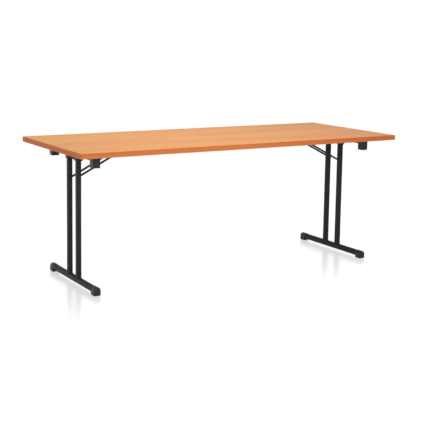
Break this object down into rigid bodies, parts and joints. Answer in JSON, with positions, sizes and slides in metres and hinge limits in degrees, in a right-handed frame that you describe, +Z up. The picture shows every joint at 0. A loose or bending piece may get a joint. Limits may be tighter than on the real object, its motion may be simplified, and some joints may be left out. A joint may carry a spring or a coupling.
{
  "type": "folding table",
  "caption": "Long rectangular folding table with a wood-look board on T-shaped black steel legs that fold inwards on braced struts, with stacking blocks underneath.",
  "frame": {"origin": "on the floor under the middle of the top", "axes": "+X along the top, +Y across it towards the back edge, +Z up"},
  "size_m": [2, 0.8, 0.75],
  "materials": {
    "board": "satin melamine, beech look",
    "edge_band": "satin, red-brown wood look",
    "black_steel": "satin black powder coat",
    "black_plastic": "moulded, fine grain",
    "zinc_steel": "zinc plated",
    "nylon": "natural nylon",
    "rubber": "matt"
  },
  "bodies": {
    "table_top": {"table_board": "board", "edge_band_front": "edge_band", "edge_band_back": "edge_band", "edge_band_left": "edge_band", "edge_band_right": "edge_band", "left_cross_rail": "black_steel", "left_rail_screws": "zinc_steel", "left_pivot_rod": "black_steel", "left_pivot_nut": "black_steel", "left_pivot_spacer": "black_steel", "left_guide_bracket": "black_steel", "left_guide_screws": "zinc_steel", "left_stacking_block_front": "black_plastic", "left_stacking_block_back": "black_plastic", "left_hinge_housing_front": "black_steel", "left_hinge_housing_back": "black_steel", "right_cross_rail": "black_steel", "right_rail_screws": "zinc_steel", "right_pivot_rod": "black_steel", "right_pivot_nut": "black_steel", "right_pivot_spacer": "black_steel", "right_guide_bracket": "black_steel", "right_guide_screws": "zinc_steel", "right_stacking_block_front": "black_plastic", "right_stacking_block_back": "black_plastic", "right_hinge_housing_front": "black_steel", "right_hinge_housing_back": "black_steel"},
    "left_leg": {"left_foot_tube": "black_steel", "left_foot_glides": "rubber", "left_column_front": "black_steel", "left_column_back": "black_steel", "left_pivot_bush_front": "nylon", "left_pivot_bush_back": "nylon", "left_foot_cap_front": "black_plastic", "left_foot_cap_back": "black_plastic", "left_strut_bush_front": "black_plastic", "left_strut_bush_back": "black_plastic"},
    "left_strut": {"left_slide_pin": "zinc_steel", "left_slide_rollers": "nylon", "left_slide_clips": "zinc_steel", "left_strut_arm_front": "black_steel", "left_strut_arm_back": "black_steel"},
    "right_leg": {"right_foot_tube": "black_steel", "right_foot_glides": "rubber", "right_column_front": "black_steel", "right_column_back": "black_steel", "right_pivot_bush_front": "nylon", "right_pivot_bush_back": "nylon", "right_foot_cap_front": "black_plastic", "right_foot_cap_back": "black_plastic", "right_strut_bush_front": "black_plastic", "right_strut_bush_back": "black_plastic"},
    "right_strut": {"right_slide_pin": "zinc_steel", "right_slide_rollers": "nylon", "right_slide_clips": "zinc_steel", "right_strut_arm_front": "black_steel", "right_strut_arm_back": "black_steel"}
  },
  "joints": [
    {"name": "left_leg_fold", "type": "hinge", "parent": "table_top", "child": "left_leg", "pos_m": [-0.866, 0, 0.675], "axis": [0, -1, 0], "range_deg": [0, 90]},
    {"name": "left_strut_swing", "type": "hinge", "parent": "left_leg", "child": "left_strut", "pos_m": [-0.866, 0, 0.568], "axis": [0, 1, 0], "range_deg": [0, 112.5]},
    {"name": "right_leg_fold", "type": "hinge", "parent": "table_top", "child": "right_leg", "pos_m": [0.866, 0, 0.675], "axis": [0, 1, 0], "range_deg": [0, 90]},
    {"name": "right_strut_swing", "type": "hinge", "parent": "right_leg", "child": "right_strut", "pos_m": [0.866, 0, 0.568], "axis": [0, -1, 0], "range_deg": [0, 112.5]}
  ],
  "couplings": [
    {"joint": "left_strut_swing", "follows": "left_leg_fold", "ratio": 1.25},
    {"joint": "right_strut_swing", "follows": "right_leg_fold", "ratio": 1.25}
  ]
}
